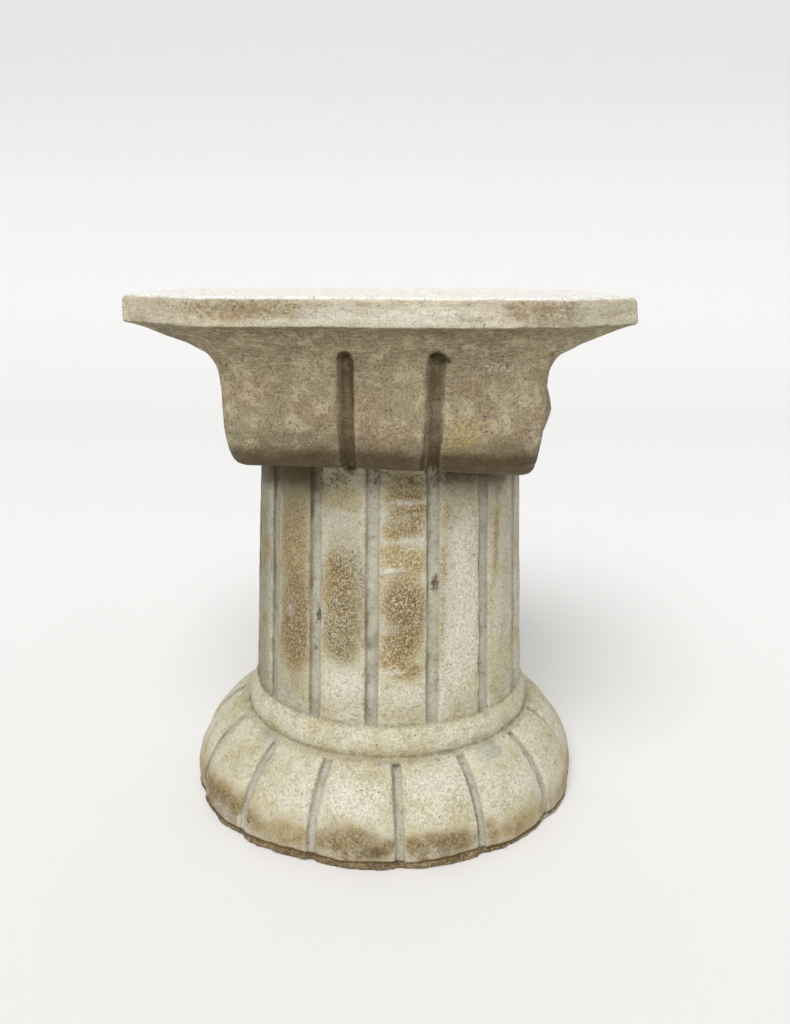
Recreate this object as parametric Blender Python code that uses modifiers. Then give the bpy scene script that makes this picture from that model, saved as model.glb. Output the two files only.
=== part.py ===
"""Short Ionic column pedestal, a plaster casting made in one piece.

Metres, +Z up. The origin is on the floor, under the middle of the square top slab.
The bolster side of the capital faces -Y and the volutes face -X and +X.
"""
import math

import bmesh
import bpy
from mathutils import Vector

NAME = "column_pedestal"

# Overall height, floor to the top of the slab
HEIGHT = 0.508

# Square top slab with its corners cut off at 45 degrees
SLAB_HALF = 0.2175
SLAB_THICKNESS = 0.0236
SLAB_CORNER_CUT = 0.076
SLAB_TOP_ARRIS = 0.0028
SLAB_LOWER_ARRIS = 0.0008
OUTLINE_EASE = 0.004
EASE_LIMIT = 0.4

# Cove under the slab: a long flat soffit above the volutes, a short hollow above the bolsters
SOFFIT_SHARE = 0.789
SOFFIT_SLOPE_DEG = 16.8
FRONT_RUN = 0.0315
COVE_LEVELS = 7

# Capital body, as wide as the volutes stand apart, with two bolster rolls lying along X
BODY_SHIFT_X = 0.0035
BODY_HALF_X = 0.1342
BODY_TAPER = 0.05
ROLL_LEAN = 0.032
BODY_CORNER_CUT = 0.008
BODY_END_RADIUS = 0.010
ROLL_RADIUS = 0.0550
ROLL_BULGE = 0.0015
ROLL_CENTRE_DROP = 0.0955
BODY_UNDERSIDE_DROP = 0.083
LEDGE = 0.0003

# Two straps cut over each bolster, from the cove round to its underside
STRAP_X = (-0.026, 0.045)
STRAP_CUT_RADIUS = 0.0058
STRAP_TOP_DROP = 0.0500
STRAP_END_DEG = 150.0

# Volutes on the two ends: one channel that runs across and winds in round both eyes
VOLUTE_OUTER_RADIUS = 0.038
VOLUTE_INNER_RADIUS = 0.028
VOLUTE_TURNS = 1.25
VOLUTE_CUT_RADIUS = 0.0032
EYE_RADIUS = 0.022
EYE_PROUD = 0.006

# Shaft, a little out of centre and wider at the foot, with flutes that stop short of the ring
SHAFT_SHIFT_X = 0.0096
SHAFT_TOP_RADIUS = 0.1290
SHAFT_FOOT_RADIUS = 0.1416
SHAFT_SWELL = 0.0006
ECHINUS_PROUD = 0.0300
ECHINUS_HALF_HEIGHT = 0.036
ECHINUS_DROP = 0.110
FLUTES = 15
FLUTE_FIRST_DEG = -6.8
FLUTE_CUT_RADIUS = 0.0070
FLUTE_DEPTH = 0.0046
FLUTE_STOP_GAP = 0.004

# Base: an ovolo of lobes under a half round ring
BASE_SHIFT_X = 0.006
BASE_RADIUS = 0.2040
BASE_FLOOR_RADIUS = 0.2030
BASE_HEIGHT = 0.0845
BASE_BULGE_Z = 0.016
OVOLO_FULLNESS = 1.66
RING_FOOT_RADIUS = 0.1485
RING_HEIGHT = 0.0245
RING_PROUD = 0.0040
LOBES = 15
LOBE_FIRST_DEG = 4.2
LOBE_FALL = 0.0026
LOBE_STRAY_DEG = (0.9, 1.5, 0.0, -0.2, -1.1, 0.4, -1.5)
LOBE_CUT_RADIUS = 0.0050
LOBE_CUT_DEPTH = 0.0036
LOBE_CUT_START_RADIUS = 0.1613
STEPS_PER_LOBE = 5

# Fineness of the round forms
SHAFT_STEPS = 60
SHAFT_LEVELS = 4
ARC_STEPS = 5
END_STEPS = 3
STEPS_PER_TURN = 16
OVERLAP = 0.012
MERGE = 0.00005


def slab_underside():
    return HEIGHT - SLAB_THICKNESS


def soffit_run():
    """Width of the flat soffit: most of the room between the slab's edge and the capital."""
    return SOFFIT_SHARE * (SLAB_HALF - BODY_HALF_X - LEDGE)


def roll_centre_y():
    """The bolsters swell out a little past the foot of the cove."""
    return SLAB_HALF - FRONT_RUN + ROLL_BULGE - ROLL_RADIUS


def roll_centre_z():
    return HEIGHT - ROLL_CENTRE_DROP


def roll_fall(x):
    """The bolsters hang a little lower towards +X."""
    return ROLL_LEAN * (x - BODY_SHIFT_X)


def cove_arc_radius():
    """Radius of the hollow that turns the soffit down into the end of the capital."""
    run_left = SLAB_HALF - BODY_HALF_X - LEDGE - soffit_run()
    return run_left / (1.0 - math.sin(math.radians(SOFFIT_SLOPE_DEG)))


def cove_drop():
    slope = math.radians(SOFFIT_SLOPE_DEG)
    return soffit_run() * math.tan(slope) + cove_arc_radius() * math.cos(slope)


def cove_half_x(depth):
    """Half width of the cove over the volutes, at a depth under the slab."""
    slope = math.radians(SOFFIT_SLOPE_DEG)
    soffit_depth = soffit_run() * math.tan(slope)
    if depth < soffit_depth:
        return SLAB_HALF - depth / math.tan(slope)
    radius = cove_arc_radius()
    turn = math.acos(max(0.0, math.cos(slope) - (depth - soffit_depth) / radius))
    return SLAB_HALF - soffit_run() - radius * (math.sin(turn) - math.sin(slope))


def cove_half_y(depth):
    """Half width of the cove over the bolsters: a quarter of an ellipse."""
    left = 1.0 - min(1.0, depth / cove_drop())
    return SLAB_HALF - FRONT_RUN * math.sqrt(1.0 - left * left)


def body_half_x(z):
    """Half width of the capital body, which narrows downwards."""
    joint_z = slab_underside() - cove_drop()
    return BODY_HALF_X + BODY_TAPER * (z - joint_z)


def side_half_x(z):
    """Half width of the finished end of the capital at a height."""
    depth = slab_underside() - z
    if depth < cove_drop():
        return cove_half_x(depth)
    return body_half_x(z)


def eased_octagon(half_x, half_y, cut, ease):
    """A rectangle with 45 degree corner cuts, three points on each of its eight corners."""
    corners = [
        Vector((half_x, half_y - cut)),
        Vector((half_x - cut, half_y)),
        Vector((cut - half_x, half_y)),
        Vector((-half_x, half_y - cut)),
        Vector((-half_x, cut - half_y)),
        Vector((cut - half_x, -half_y)),
        Vector((half_x - cut, -half_y)),
        Vector((half_x, cut - half_y)),
    ]
    points = []
    for index, corner in enumerate(corners):
        before = corners[index - 1] - corner
        after = corners[(index + 1) % len(corners)] - corner
        reach = min(ease, EASE_LIMIT * before.length, EASE_LIMIT * after.length)
        start = corner + before.normalized() * reach
        end = corner + after.normalized() * reach
        points += [start, (start + end + 2.0 * corner) / 4.0, end]
    return points


def circle_points(centre, radius, start, end, steps):
    """Points on an arc, from the start angle to the end angle."""
    angles = [start + (end - start) * step / steps for step in range(steps + 1)]
    return [centre + radius * Vector((math.cos(a), math.sin(a))) for a in angles]


def new_object(name, mesh, collection):
    thing = bpy.data.objects.new(name, mesh)
    collection.objects.link(thing)
    return thing


def loft(name, rings, collection):
    """Join rings of equal length into a closed skin with flat ends."""
    shape = bmesh.new()
    rows = [[shape.verts.new(point) for point in ring] for ring in rings]
    for row, following in zip(rows, rows[1:]):
        for index in range(len(row)):
            onward = (index + 1) % len(row)
            shape.faces.new((row[index], row[onward], following[onward], following[index]))
    shape.faces.new(rows[0])
    shape.faces.new(rows[-1])
    bmesh.ops.recalc_face_normals(shape, faces=shape.faces)
    mesh = bpy.data.meshes.new(name)
    shape.to_mesh(mesh)
    shape.free()
    return new_object(name, mesh, collection)


def baked(thing, collection):
    """Replace an object by a mesh of its evaluated shape, with its seams welded."""
    graph = bpy.context.evaluated_depsgraph_get()
    mesh = bpy.data.meshes.new_from_object(thing.evaluated_get(graph))
    shape = bmesh.new()
    shape.from_mesh(mesh)
    bmesh.ops.remove_doubles(shape, verts=shape.verts, dist=MERGE)
    shape.to_mesh(mesh)
    shape.free()
    result = new_object(thing.name + "_mesh", mesh, collection)
    result.matrix_world = thing.matrix_world
    bpy.data.objects.remove(thing)
    return result


def turned(name, profile, steps, collection):
    """Turn a profile, given as radius and height from the top down, round +Z."""
    mesh = bpy.data.meshes.new(name)
    points = [(radius, 0.0, height) for radius, height in profile]
    mesh.from_pydata(points, [(i, i + 1) for i in range(len(points) - 1)], [])
    thing = new_object(name, mesh, collection)
    screw = thing.modifiers.new("turn", "SCREW")
    screw.steps = steps
    screw.render_steps = steps
    screw.use_merge_vertices = True
    screw.merge_threshold = MERGE
    bpy.context.view_layer.update()
    return baked(thing, collection)


def tubes(name, paths, radius, collection):
    """Round bars along the given paths, as one mesh."""
    curve = bpy.data.curves.new(name, "CURVE")
    curve.dimensions = "3D"
    curve.bevel_depth = radius
    curve.bevel_resolution = 1
    curve.use_fill_caps = True
    for path in paths:
        spline = curve.splines.new("POLY")
        spline.points.add(len(path) - 1)
        for point, place in zip(spline.points, path):
            point.co = (*place, 1.0)
    thing = new_object(name, curve, collection)
    bpy.context.view_layer.update()
    return baked(thing, collection)


def axis_x(z):
    """Where the upright axis stands at a height: the shaft is a little to one side of the base."""
    rise = (z - BASE_BULGE_Z) / (BASE_HEIGHT + RING_HEIGHT - BASE_BULGE_Z)
    return BASE_SHIFT_X + (SHAFT_SHIFT_X - BASE_SHIFT_X) * min(1.0, max(0.0, rise))


def at_angle(degrees, radius, z):
    """A point round a vertical axis, with the angle counted from the front towards +X."""
    turn = math.radians(degrees)
    return Vector((axis_x(z) + radius * math.sin(turn), -radius * math.cos(turn), z))


def slab_and_cove(collection):
    """The top slab and the hollow under it, in one loft from the top down."""
    rings = []
    for inset, z in (
        (SLAB_TOP_ARRIS, HEIGHT),
        (0.0, HEIGHT - SLAB_TOP_ARRIS),
        (0.0, slab_underside() + SLAB_LOWER_ARRIS),
    ):
        half = SLAB_HALF - inset
        rings.append([(*p, z) for p in eased_octagon(half, half, SLAB_CORNER_CUT, OUTLINE_EASE)])
    full_run = SLAB_HALF - cove_half_x(cove_drop())
    for level in range(COVE_LEVELS + 1):
        depth = cove_drop() * (1.0 - math.cos(math.pi / 2.0 * level / COVE_LEVELS))
        half_x = cove_half_x(depth)
        run = (SLAB_HALF - half_x) / full_run
        inset = SLAB_LOWER_ARRIS * (1.0 - run)
        cut = SLAB_CORNER_CUT + (BODY_CORNER_CUT - SLAB_CORNER_CUT) * run
        outline = eased_octagon(half_x - inset, cove_half_y(depth) - inset, cut, OUTLINE_EASE)
        shift = BODY_SHIFT_X * run
        rings.append([(x + shift, y, slab_underside() - depth) for x, y in outline])
    end = eased_octagon(
        BODY_HALF_X - BODY_CORNER_CUT / 2.0,
        cove_half_y(cove_drop()) - BODY_CORNER_CUT / 2.0,
        BODY_CORNER_CUT,
        OUTLINE_EASE,
    )
    end_z = slab_underside() - cove_drop() - BODY_CORNER_CUT / 2.0
    rings.append([(x + BODY_SHIFT_X, y, end_z) for x, y in end])
    return loft("slab_and_cove", rings, collection)


def body_outline(inset):
    """The capital body seen along X: two rolls that rise straight to the foot of the cove."""
    radius = ROLL_RADIUS - inset
    underside = HEIGHT - BODY_UNDERSIDE_DROP + inset
    rise = math.asin((underside - roll_centre_z()) / radius)
    top_z = slab_underside() - cove_drop() + BODY_CORNER_CUT
    shoulder = cove_half_y(cove_drop()) - LEDGE - inset
    far = Vector((roll_centre_y(), roll_centre_z()))
    near = Vector((-roll_centre_y(), roll_centre_z()))
    far_arc = circle_points(far, radius, 0.0, rise - math.pi, 2 * ARC_STEPS)
    near_arc = circle_points(near, radius, -rise, -math.pi, 2 * ARC_STEPS)
    return [Vector((shoulder, top_z))] + far_arc + near_arc + [Vector((-shoulder, top_z))]


def capital_body(collection):
    """Both bolster rolls and the block between them, with rounded and tapered ends."""
    sections = []
    for step in range(END_STEPS + 1):
        turn = math.pi / 2.0 * step / END_STEPS
        inset = BODY_END_RADIUS * (1.0 - math.sin(turn))
        sections.append((BODY_END_RADIUS * (1.0 - math.cos(turn)), inset))
    ends = [(-1.0, back, inset) for back, inset in sections]
    ends += [(1.0, back, inset) for back, inset in reversed(sections)]
    rings = []
    for side, back, inset in ends:
        ring = []
        for y, z in body_outline(inset):
            x = BODY_SHIFT_X + side * (body_half_x(z) - back)
            ring.append((x, y, z - roll_fall(x)))
        rings.append(ring)
    return loft("capital_body", rings, collection)


def volute_eyes(collection):
    """Four flattened domes, one in the middle of each volute."""
    shape = bmesh.new()
    for side in (-1.0, 1.0):
        for end in (-1.0, 1.0):
            made = bmesh.ops.create_uvsphere(shape, u_segments=18, v_segments=10, radius=1.0)
            x = BODY_SHIFT_X + side * body_half_x(roll_centre_z())
            middle = Vector((x, end * roll_centre_y(), roll_centre_z() - roll_fall(x)))
            size = Vector((EYE_PROUD, EYE_RADIUS, EYE_RADIUS))
            for vert in made["verts"]:
                across = Vector((vert.co.z, vert.co.x, vert.co.y))
                vert.co = middle + across * size
    bmesh.ops.recalc_face_normals(shape, faces=shape.faces)
    mesh = bpy.data.meshes.new("volute_eyes")
    shape.to_mesh(mesh)
    shape.free()
    return new_object("volute_eyes", mesh, collection)


def volute_path(side):
    """One channel: it winds out of the front eye, crosses over and winds into the back eye."""
    half = []
    steps = round(VOLUTE_TURNS * STEPS_PER_TURN)
    for step in range(steps + 1):
        share = step / steps
        radius = VOLUTE_INNER_RADIUS + (VOLUTE_OUTER_RADIUS - VOLUTE_INNER_RADIUS) * share
        turn = 2.0 * math.pi * VOLUTE_TURNS * (1.0 - share)
        half.append((-roll_centre_y() - radius * math.sin(turn), roll_centre_z() + radius * math.cos(turn)))
    path = half + [(-y, z) for y, z in reversed(half)]
    fall = roll_fall(BODY_SHIFT_X + side * BODY_HALF_X)
    return [(BODY_SHIFT_X + side * side_half_x(z - fall), y, z - fall) for y, z in path]


def strap_path(x, side):
    """Down the cove, over the roll and in under it, at one place along X."""
    joint_depth = cove_drop()
    start_depth = STRAP_TOP_DROP - SLAB_THICKNESS
    path = []
    for step in range(ARC_STEPS):
        depth = start_depth + (joint_depth - start_depth) * step / ARC_STEPS
        path.append((x, side * cove_half_y(depth), slab_underside() - depth))
    centre = Vector((roll_centre_y(), roll_centre_z()))
    for y, z in circle_points(centre, ROLL_RADIUS, 0.0, -math.radians(STRAP_END_DEG), ARC_STEPS + 2):
        path.append((x, side * y, z - roll_fall(x)))
    return path


def shaft_radius(z):
    """Shaft radius at a height: a straight taper with a slight swell."""
    foot = BASE_HEIGHT + RING_HEIGHT
    share = (z - foot) / (HEIGHT - ECHINUS_DROP - foot)
    taper = SHAFT_FOOT_RADIUS + (SHAFT_TOP_RADIUS - SHAFT_FOOT_RADIUS) * share
    return taper + SHAFT_SWELL * math.sin(math.pi * share)


def shaft(collection):
    """The shaft with the echinus on its head, from inside the capital to inside the base."""
    middle = HEIGHT - ECHINUS_DROP
    neck_z = middle - ECHINUS_HALF_HEIGHT
    neck = shaft_radius(neck_z)
    profile = [(0.0, middle + ECHINUS_HALF_HEIGHT)]
    for step in range(ARC_STEPS + 2):
        turn = math.pi / 2.0 - math.pi * step / (ARC_STEPS + 1)
        profile.append((neck + ECHINUS_PROUD * math.cos(turn), middle + ECHINUS_HALF_HEIGHT * math.sin(turn)))
    foot_z = BASE_HEIGHT + RING_HEIGHT - OVERLAP
    for level in range(1, SHAFT_LEVELS + 1):
        z = neck_z + (foot_z - neck_z) * level / SHAFT_LEVELS
        profile.append((shaft_radius(z), z))
    profile.append((0.0, foot_z))
    thing = turned("shaft", profile, SHAFT_STEPS, collection)
    thing.location.x = SHAFT_SHIFT_X
    return thing


def flute_bars(collection):
    """Upright bars that cut the flutes, from inside the capital down to just over the ring."""
    top = HEIGHT - ECHINUS_DROP
    stop = BASE_HEIGHT + RING_HEIGHT + FLUTE_STOP_GAP
    out = FLUTE_CUT_RADIUS - FLUTE_DEPTH
    paths = []
    for index in range(FLUTES):
        degrees = FLUTE_FIRST_DEG + index * 360.0 / FLUTES
        path = []
        for step in range(SHAFT_LEVELS + 1):
            z = top + (stop - top) * step / SHAFT_LEVELS
            path.append(at_angle(degrees, shaft_radius(z) + out, z))
        paths.append(path)
    return tubes("flute_bars", paths, FLUTE_CUT_RADIUS, collection)


def ovolo_radius(z):
    """Radius of the lobed base at a height."""
    if z < BASE_BULGE_Z:
        low = (BASE_BULGE_Z - z) / BASE_BULGE_Z
        return BASE_RADIUS - (BASE_RADIUS - BASE_FLOOR_RADIUS) * low * low
    rise = min(1.0, (z - BASE_BULGE_Z) / (BASE_HEIGHT - BASE_BULGE_Z))
    run = BASE_RADIUS - RING_FOOT_RADIUS
    return RING_FOOT_RADIUS + run * (1.0 - rise ** OVOLO_FULLNESS) ** (1.0 / OVOLO_FULLNESS)


def ovolo_points(steps):
    """The outer curve of the base as radius and height, from the ring down to the bulge."""
    points = []
    for step in range(steps + 1):
        turn = math.pi / 2.0 * (1.0 - step / steps)
        z = BASE_BULGE_Z + (BASE_HEIGHT - BASE_BULGE_Z) * math.sin(turn)
        points.append((ovolo_radius(z), z))
    return points


def ring_points():
    """The half round ring between the shaft and the lobes, as radius and height."""
    top = Vector((SHAFT_FOOT_RADIUS, BASE_HEIGHT + RING_HEIGHT))
    foot = Vector((RING_FOOT_RADIUS, BASE_HEIGHT))
    chord = foot - top
    outward = Vector((-chord.y, chord.x)).normalized()
    points = []
    for step in range(ARC_STEPS + 1):
        share = step / ARC_STEPS
        swell = math.sqrt(1.0 - (2.0 * share - 1.0) ** 2)
        points.append(tuple(top + chord * share + outward * RING_PROUD * swell))
    return points


def lobe_fall(degrees, z):
    """How far the surface falls towards the nearest groove between two lobes."""
    pitch = 360.0 / LOBES
    across = ((degrees - LOBE_FIRST_DEG) / pitch) % 1.0
    edge = abs(2.0 * across - 1.0)
    fade = min(1.0, max(0.0, (BASE_HEIGHT - z) / BASE_BULGE_Z))
    return LOBE_FALL * fade * edge ** 3


def base(collection):
    """The lobed base and its ring, turned and then drawn in between the lobes."""
    profile = [(0.0, BASE_HEIGHT + RING_HEIGHT)] + ring_points()
    profile += ovolo_points(ARC_STEPS + 1)[1:]
    profile.append((ovolo_radius(BASE_BULGE_Z / 2.0), BASE_BULGE_Z / 2.0))
    profile.append((BASE_FLOOR_RADIUS, 0.0))
    profile.append((0.0, 0.0))
    thing = turned(NAME, profile, LOBES * STEPS_PER_LOBE, collection)
    for vert in thing.data.vertices:
        radius = math.hypot(vert.co.x, vert.co.y)
        degrees = math.degrees(math.atan2(vert.co.y, vert.co.x)) + LOBE_FIRST_DEG
        if radius > RING_FOOT_RADIUS:
            radius -= lobe_fall(degrees, vert.co.z)
        vert.co = at_angle(degrees, radius, vert.co.z)
    thing.name = NAME
    return thing


def lobe_bars(collection):
    """Curved bars that cut the grooves between the lobes, down to below the floor."""
    out = LOBE_CUT_RADIUS - LOBE_CUT_DEPTH - LOBE_FALL
    curve = [point for point in ovolo_points(2 * ARC_STEPS) if point[0] > LOBE_CUT_START_RADIUS]
    curve.append((BASE_FLOOR_RADIUS, 0.0))
    curve.append((BASE_FLOOR_RADIUS, -OVERLAP))
    paths = []
    front = len(LOBE_STRAY_DEG) // 2
    for index in range(LOBES):
        count = (index + front) % LOBES
        stray = LOBE_STRAY_DEG[count] if count < len(LOBE_STRAY_DEG) else 0.0
        degrees = LOBE_FIRST_DEG + index * 360.0 / LOBES + stray
        paths.append([at_angle(degrees, radius + out, z) for radius, z in curve])
    return tubes("lobe_bars", paths, LOBE_CUT_RADIUS, collection)


def plaster():
    """Cream painted plaster."""
    material = bpy.data.materials.new("painted_plaster")
    material.use_nodes = True
    shader = material.node_tree.nodes["Principled BSDF"]
    shader.inputs["Base Color"].default_value = (0.58, 0.53, 0.40, 1.0)
    shader.inputs["Roughness"].default_value = 0.75
    shader.inputs["Metallic"].default_value = 0.0
    return material


def combine(target, tool, operation):
    """Join a solid to the target, or cut it away, with an exact Boolean."""
    boolean = target.modifiers.new(tool.name, "BOOLEAN")
    boolean.operation = operation
    boolean.solver = "EXACT"
    boolean.object = tool
    tool.hide_render = True
    tool.display_type = "WIRE"


def build():
    for thing in list(bpy.data.objects):
        bpy.data.objects.remove(thing)
    scene = bpy.context.scene.collection
    parts = bpy.data.collections.new(NAME)
    tools = bpy.data.collections.new("cutters")
    scene.children.link(parts)
    scene.children.link(tools)

    pedestal = base(parts)
    for solid in (shaft(tools), capital_body(tools), slab_and_cove(tools), volute_eyes(tools)):
        combine(pedestal, solid, "UNION")
    straps = [strap_path(x, side) for x in STRAP_X for side in (-1.0, 1.0)]
    volutes = [volute_path(side) for side in (-1.0, 1.0)]
    combine(pedestal, flute_bars(tools), "DIFFERENCE")
    combine(pedestal, lobe_bars(tools), "DIFFERENCE")
    combine(pedestal, tubes("strap_bars", straps, STRAP_CUT_RADIUS, tools), "DIFFERENCE")
    combine(pedestal, tubes("volute_bars", volutes, VOLUTE_CUT_RADIUS, tools), "DIFFERENCE")

    pedestal.data.materials.append(plaster())
    pedestal.data.shade_smooth()
    pedestal.data.set_sharp_from_angle(angle=math.radians(35.0))


build()
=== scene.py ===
import math
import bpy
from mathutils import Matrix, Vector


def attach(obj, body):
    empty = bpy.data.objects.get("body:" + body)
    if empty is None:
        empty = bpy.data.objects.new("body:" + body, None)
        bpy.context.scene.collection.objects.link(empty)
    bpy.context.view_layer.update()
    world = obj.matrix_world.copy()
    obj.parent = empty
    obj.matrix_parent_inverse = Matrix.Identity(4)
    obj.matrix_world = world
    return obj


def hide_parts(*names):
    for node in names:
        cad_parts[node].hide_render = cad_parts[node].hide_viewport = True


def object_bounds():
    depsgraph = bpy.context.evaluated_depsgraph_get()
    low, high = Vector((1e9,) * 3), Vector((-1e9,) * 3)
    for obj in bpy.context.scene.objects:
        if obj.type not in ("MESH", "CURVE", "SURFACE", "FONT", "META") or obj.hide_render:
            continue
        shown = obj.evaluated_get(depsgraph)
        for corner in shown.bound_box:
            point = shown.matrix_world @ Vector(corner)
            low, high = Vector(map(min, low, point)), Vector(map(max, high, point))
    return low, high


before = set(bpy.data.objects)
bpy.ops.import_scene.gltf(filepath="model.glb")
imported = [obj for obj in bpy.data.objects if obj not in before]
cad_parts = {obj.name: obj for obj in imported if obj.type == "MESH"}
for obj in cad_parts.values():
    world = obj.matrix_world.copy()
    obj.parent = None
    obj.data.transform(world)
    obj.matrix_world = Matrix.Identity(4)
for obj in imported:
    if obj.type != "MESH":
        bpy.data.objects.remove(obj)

from types import SimpleNamespace

import bmesh
import bpy
import numpy as np
from bpy.props import FloatProperty, FloatVectorProperty, IntProperty, StringProperty
from mathutils import Matrix, Vector
from mathutils.kdtree import KDTree

bl_info = {
    "name": "Plaster Column Pedestal",
    "version": (1, 0, 0),
    "blender": (4, 5, 0),
    "location": "View3D > Sidebar > Pedestal",
    "description": "Finishes a cast and painted plaster pedestal over its plain solid",
    "category": "Object",
}

NODE = "column_pedestal"
CAD_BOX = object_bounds()
TOP_Z = CAD_BOX[1].z
MM = 0.001

# Heights that part the casting into its members, in metres above the floor
SLAB_UNDERSIDE_Z = TOP_Z - 23.6 * MM
COVE_FOOT_Z = TOP_Z - 67 * MM
NECK_Z = TOP_Z - 150.5 * MM
SHAFT_HEAD_Z = TOP_Z - 110 * MM
RING_TOP_Z = 109 * MM
RING_FOOT_Z = 84.5 * MM
BULGE_Z = 16 * MM

# Shaft: its axis, its radius at head and foot, and its flutes
SHAFT_X = 9.6 * MM
SHAFT_HEAD_RADIUS = 129 * MM
SHAFT_FOOT_RADIUS = 141.6 * MM
SHAFT_SWELL = 0.6 * MM
FLUTES = 15
FLUTE_FIRST_DEG = -6.8
FLUTE_HALF_WIDTH = 6.5 * MM
FLUTE_FLOOR_DEPTH = 2.7 * MM

# Base: its axis, the ovolo that its lobes follow, the grooves between them and the swell of its left foot
BASE_X = 6 * MM
BASE_RADIUS = 204 * MM
RING_FOOT_RADIUS = 148.5 * MM
OVOLO_FULLNESS = 1.66
LOBES = 15
LOBE_FIRST_DEG = 4.2
LOBE_STRAY_DEG = (0.9, 1.5, 0.0, -0.2, -1.1, 0.4, -1.5)
LOBE_FALL = 2.6 * MM
GROOVE_HALF_WIDTH = 4.7 * MM
GROOVE_FLOOR_DEPTH = 2.0 * MM
GROOVE_TOP_RADIUS = 156 * MM
FOOT_SWELL = 3.5 * MM

# Straps over the bolsters: for each its place at the top, its lean and its half width
STRAPS = ((-28.3 * MM, 2.0 * MM, 6.2 * MM), (46.5 * MM, -5.0 * MM, 7.8 * MM))
STRAP_TOP_Z = 461 * MM
STRAP_WIDENING = 2.2 * MM
BOLSTER_FRONT_Y = -187 * MM

# Pits in the casting, and how far its cut edges waver
PIT_COUNT = 260
PIT_SEED = 5
EDGE_WAVER = 0.5 * MM

# A power that gives a stain a level middle and a quick edge
FLAT_TOPPED = 2.0

# The camera that the photograph's outline was fitted with
PHOTO_SIZE = (790, 1024)
PHOTO_FOCAL_PX = 914.8
PHOTO_AXIS_X_PX = 386.2
CAMERA_PLACE = (6 * MM, -923.9 * MM, 525.6 * MM)
CAMERA_DOWN_DEG = 14.66
CAMERA_ROLL_DEG = 0.31

# How much of the floor's colour the backdrop has, because the light falls on it more squarely
BACKDROP_SHARE = 0.84


def ramp(value, low, high):
    """Zero under the low value, one over the high one and smooth between them."""
    share = np.clip((value - low) / (high - low), 0.0, 1.0)
    return share * share * (3.0 - 2.0 * share)


def lattice_noise(points, size, seed):
    """Smooth noise from -1 to 1, with lumps of about the given size in metres."""
    place = points / size + 31.7 * seed
    cell = np.floor(place).astype(np.int64)
    part = place - cell
    ease = part * part * part * (part * (part * 6.0 - 15.0) + 10.0)
    total = np.zeros(len(points))
    for corner in range(8):
        offset = np.array([corner & 1, corner >> 1 & 1, corner >> 2 & 1])
        at = cell + offset
        key = at[:, 0] * 73856093 ^ at[:, 1] * 19349663 ^ at[:, 2] * 83492791 ^ seed * 2654435761
        key = (key ^ key >> 13) * 1274126177 & 0x7FFFFFFF
        key = (key ^ key >> 16) & 0xFFFF
        weight = np.prod(np.where(offset, ease, 1.0 - ease), axis=1)
        total += weight * (key / 32767.5 - 1.0)
    return total


def layered_noise(points, size, seed):
    """Noise of three layers, each at half the size and half the height of the one before."""
    total = np.zeros(len(points))
    for layer in range(3):
        total += lattice_noise(points, size / 2 ** layer, seed + layer) / 2 ** layer
    return total


def smoothed(points, edges, rounds):
    """Each point moved to the middle of its neighbours, again and again."""
    count = np.bincount(edges.ravel(), minlength=len(points))[:, None]
    for _ in range(rounds):
        total = np.empty_like(points)
        for axis in range(points.shape[1]):
            total[:, axis] = np.bincount(edges[:, 0], points[edges[:, 1], axis], len(points))
            total[:, axis] += np.bincount(edges[:, 1], points[edges[:, 0], axis], len(points))
        points = 0.35 * points + 0.65 * total / count
    return points


def mesh_points(mesh):
    """Where the mesh's points lie, one row for each."""
    points = np.empty(len(mesh.vertices) * 3)
    mesh.vertices.foreach_get("co", points)
    return points.reshape(-1, 3)


def mesh_normals(mesh):
    """Which way the mesh faces at each point."""
    normals = np.empty(len(mesh.vertices) * 3)
    mesh.vertex_normals.foreach_get("vector", normals)
    return normals.reshape(-1, 3)


def mesh_edges(mesh):
    """The two points at the ends of each edge."""
    edges = np.empty(len(mesh.edges) * 2, dtype=np.int32)
    mesh.edges.foreach_get("vertices", edges)
    return edges.reshape(-1, 2)


def place_points(mesh, points):
    """Moves the mesh's points to new places."""
    mesh.vertices.foreach_set("co", points.ravel())
    mesh.update()


def applied(piece, kind, settings):
    """Add one modifier, apply it and return the piece's new mesh."""
    modifier = piece.modifiers.new(kind.lower(), kind)
    for name, value in settings.items():
        setattr(modifier, name, value)
    graph = bpy.context.evaluated_depsgraph_get()
    mesh = bpy.data.meshes.new_from_object(piece.evaluated_get(graph))
    piece.modifiers.clear()
    piece.data = mesh
    return mesh


def round_axis(points, axis_x):
    """Angle from the front towards +X in degrees, and distance, about an upright axis."""
    across = points[:, 0] - axis_x
    return np.degrees(np.arctan2(across, -points[:, 1])), np.hypot(across, points[:, 1])


def off_nearest(degrees, count, first, stray=()):
    """Signed angle to the nearest of several marks in degrees. The front ones stray from even spacing."""
    nearest = np.full(len(degrees), 360.0)
    for index in range(count):
        seat = (index + len(stray) // 2) % count
        mark = first + index * 360.0 / count + (stray[seat] if seat < len(stray) else 0.0)
        gap = (degrees - mark + 180.0) % 360.0 - 180.0
        nearest = np.where(np.abs(gap) < np.abs(nearest), gap, nearest)
    return nearest


def shaft_radius(z):
    """Radius of the shaft between its flutes at a height."""
    share = (z - RING_TOP_Z) / (SHAFT_HEAD_Z - RING_TOP_Z)
    taper = SHAFT_FOOT_RADIUS + (SHAFT_HEAD_RADIUS - SHAFT_FOOT_RADIUS) * share
    return taper + SHAFT_SWELL * np.sin(np.pi * share)


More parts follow.
